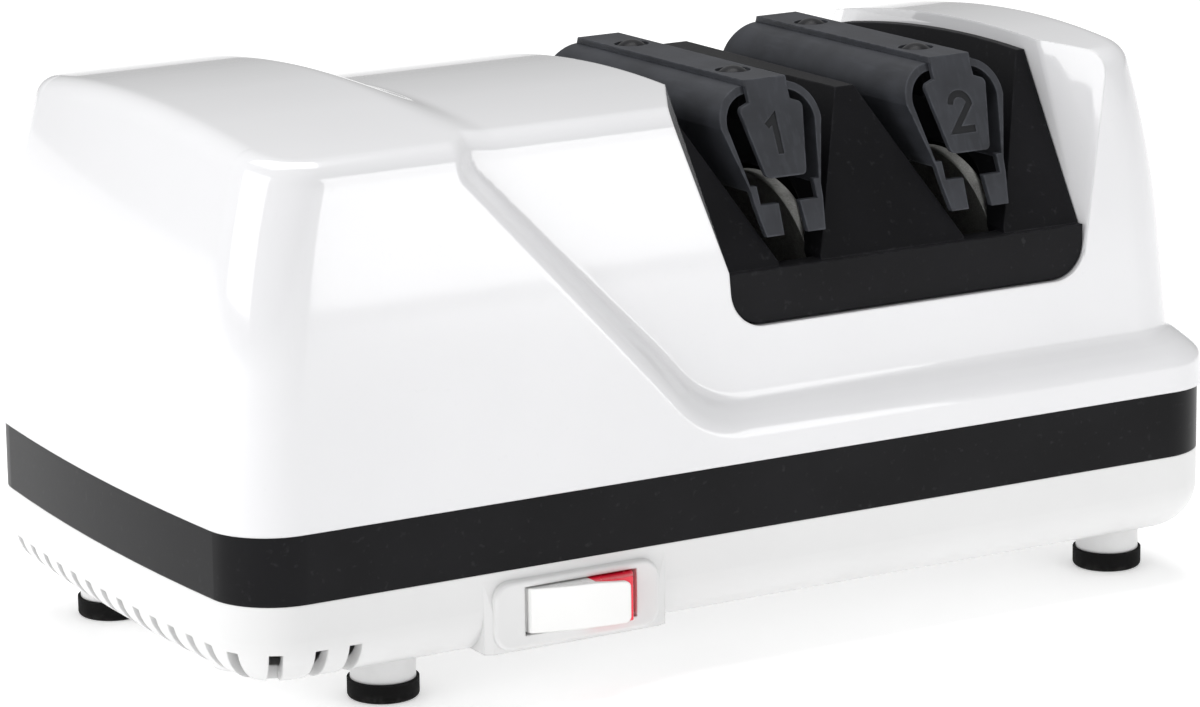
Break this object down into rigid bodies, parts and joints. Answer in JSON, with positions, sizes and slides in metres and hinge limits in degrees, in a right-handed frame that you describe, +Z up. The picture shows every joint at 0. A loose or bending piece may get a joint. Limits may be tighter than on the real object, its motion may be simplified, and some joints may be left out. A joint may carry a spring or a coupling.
{
  "type": "electric knife sharpener",
  "caption": "Bench-top electric knife sharpener: stepped white housing over a dark band, slanted guide slots with horseshoe springs above grinding discs, and a rocker switch in front.",
  "frame": {"origin": "middle of the object seen from above, on the floor it stands on", "axes": "+X along its length towards the guides, +Y to the rear away from the switch, +Z up"},
  "size_m": [0.2176, 0.1236, 0.1084],
  "materials": {
    "shell_white": "gloss",
    "base_white": "satin",
    "band_black": "satin",
    "guide_black": "fine matte",
    "spring_grey": "fine matte",
    "inner_black": "moulded",
    "rocker_red": "gloss",
    "foot_rubber": "matte",
    "screw_black": "blackened",
    "steel": "machined",
    "laminations": "stacked sheet",
    "copper": "enamelled wire",
    "bronze": "sintered",
    "alloy": "die cast",
    "magnet": "plated",
    "grit": "abrasive coated"
  },
  "bodies": {
    "housing": {"top_housing": "shell_white", "trim_band": "band_black", "base_housing": "base_white", "housing_screws": "steel", "cord_gland": "foot_rubber", "guide_block": "guide_black", "guide_screws": "screw_black", "switch_body": "base_white", "motor_stator": "laminations", "motor_coil": "copper", "motor_brackets": "alloy", "motor_screws": "steel", "shaft_bearings": "bronze", "shaft_support": "inner_black", "foot_front_left": "foot_rubber", "foot_front_right": "foot_rubber", "foot_rear_left": "foot_rubber", "foot_rear_right": "foot_rubber", "guide_spring_1": "spring_grey", "guide_bar_1": "spring_grey", "guide_spring_2": "spring_grey", "guide_bar_2": "spring_grey"},
    "rotor": {"motor_shaft": "steel", "rotor_core": "alloy", "cooling_fan": "inner_black", "shaft_collars": "inner_black", "disc_spring_1_left": "steel", "disc_spring_1_right": "steel", "disc_spring_2_left": "steel", "disc_spring_2_right": "steel"},
    "switch_rocker": {"rocker": "rocker_red", "rocker_cap": "shell_white"},
    "dust_door": {"cleanout_cover": "base_white", "swarf_magnet": "magnet"},
    "wheel_1_left": {"disc_1_left": "grit"},
    "wheel_1_right": {"disc_1_right": "grit"},
    "wheel_2_left": {"disc_2_left": "grit"},
    "wheel_2_right": {"disc_2_right": "grit"}
  },
  "joints": [
    {"name": "rotor_spin", "type": "hinge", "parent": "housing", "child": "rotor", "pos_m": [0, -0.0195, 0.0578], "axis": [1, 0, 0], "continuous": true},
    {"name": "rocker_tilt", "type": "hinge", "parent": "housing", "child": "switch_rocker", "pos_m": [-0.0387, -0.054, 0.0181], "axis": [0, 0, 1], "range_deg": [0, 14]},
    {"name": "dust_door_pull", "type": "slide", "parent": "housing", "child": "dust_door", "axis": [0, 0, -1], "range_m": [0, 0.008]},
    {"name": "wheel_1_left_slide", "type": "slide", "parent": "rotor", "child": "wheel_1_left", "axis": [1, 0, 0], "range_m": [0, 0.0015], "stiffness_N_per_m": 400, "springref_m": -0.004, "deforming": ["disc_spring_1_left"]},
    {"name": "wheel_1_right_slide", "type": "slide", "parent": "rotor", "child": "wheel_1_right", "axis": [1, 0, 0], "range_m": [-0.0015, 0], "stiffness_N_per_m": 400, "springref_m": 0.004, "deforming": ["disc_spring_1_right"]},
    {"name": "wheel_2_left_slide", "type": "slide", "parent": "rotor", "child": "wheel_2_left", "axis": [1, 0, 0], "range_m": [0, 0.0015], "stiffness_N_per_m": 400, "springref_m": -0.004, "deforming": ["disc_spring_2_left"]},
    {"name": "wheel_2_right_slide", "type": "slide", "parent": "rotor", "child": "wheel_2_right", "axis": [1, 0, 0], "range_m": [-0.0015, 0], "stiffness_N_per_m": 400, "springref_m": 0.004, "deforming": ["disc_spring_2_right"]}
  ]
}
